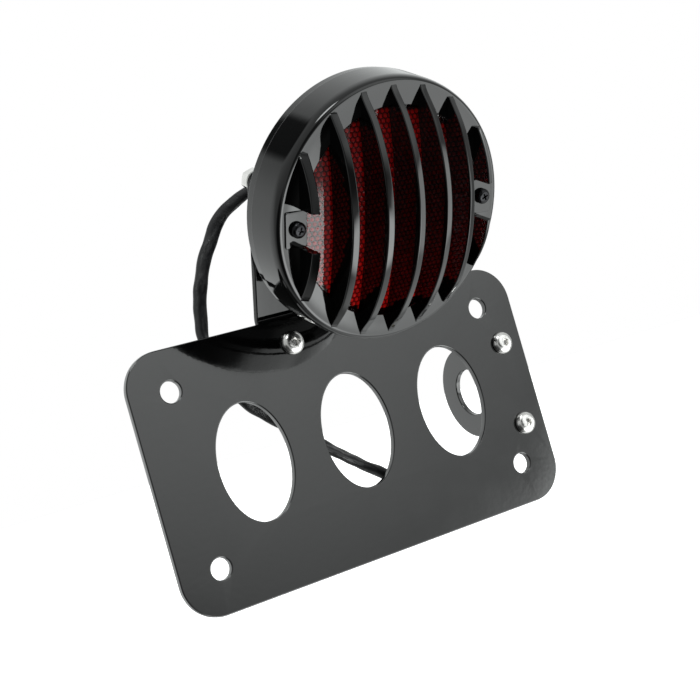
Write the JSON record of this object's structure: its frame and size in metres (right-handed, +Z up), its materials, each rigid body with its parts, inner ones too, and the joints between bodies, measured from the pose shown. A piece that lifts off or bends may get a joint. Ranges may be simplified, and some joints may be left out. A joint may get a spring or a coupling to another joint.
{
  "type": "motorcycle tail light",
  "caption": "Side-mount tail light: round red lamp behind a domed finned black cover, bracketed on a number plate carrier with an axle eye arm.",
  "frame": {"origin": "centre of the arm's axle eye, on the eye's outer (+X) face", "axes": "+X out of the eye along the axle, towards the side away from the wheel; +Z up; -Y is the way the lamp and the number plate face"},
  "size_m": [0.181, 0.1542, 0.1778],
  "materials": {
    "black_paint": "gloss black powder coat on sheet steel",
    "black_cast": "gloss black paint on die-cast aluminium",
    "stainless": "bright stainless steel",
    "zinc": "zinc plated",
    "red_lens": "clear red prismatic plastic",
    "rubber": "matt",
    "black_vinyl": "satin vinyl sleeve",
    "circuit_board": "white solder mask",
    "red_led": "clear red resin",
    "component_black": "matt moulded",
    "wire_red": "satin insulation",
    "wire_white": "satin insulation",
    "wire_black": "satin insulation",
    "tinned_brass": "tinned bullet terminal"
  },
  "bodies": {
    "root": {"plate_carrier": "black_paint", "lamp_bracket": "black_paint", "side_arm": "black_paint", "lamp_housing": "black_cast", "finned_cover": "black_cast", "cover_screw_left": "black_cast", "cover_screw_right": "black_cast", "bracket_bolt_left": "stainless", "bracket_washer_left": "zinc", "bracket_nut_left": "zinc", "bracket_bolt_right": "stainless", "bracket_washer_right": "zinc", "bracket_nut_right": "zinc", "arm_bolt_upper": "stainless", "arm_washer_upper": "zinc", "arm_nut_upper": "zinc", "arm_bolt_lower": "stainless", "arm_washer_lower": "zinc", "arm_nut_lower": "zinc", "housing_stud_left": "zinc", "stud_washer_left": "zinc", "stud_nut_left": "stainless", "housing_stud_right": "zinc", "stud_washer_right": "zinc", "stud_nut_right": "stainless", "led_board": "circuit_board", "board_screw_1": "zinc", "board_screw_2": "zinc", "board_screw_3": "zinc", "led_01": "red_led", "led_02": "red_led", "led_03": "red_led", "led_04": "red_led", "led_05": "red_led", "led_06": "red_led", "led_07": "red_led", "led_08": "red_led", "led_09": "red_led", "led_10": "red_led", "led_11": "red_led", "led_12": "red_led", "driver_chip": "component_black", "resistor_left": "component_black", "resistor_right": "component_black", "lens_gasket": "rubber", "cable_grommet": "rubber", "lens": "red_lens", "lead_sleeve": "black_vinyl", "lead_red": "wire_red", "board_lead_red": "wire_red", "plug_red": "tinned_brass", "lead_white": "wire_white", "board_lead_white": "wire_white", "plug_white": "tinned_brass", "lead_black": "wire_black", "board_lead_black": "wire_black", "plug_black": "tinned_brass"}
  },
  "joints": []
}
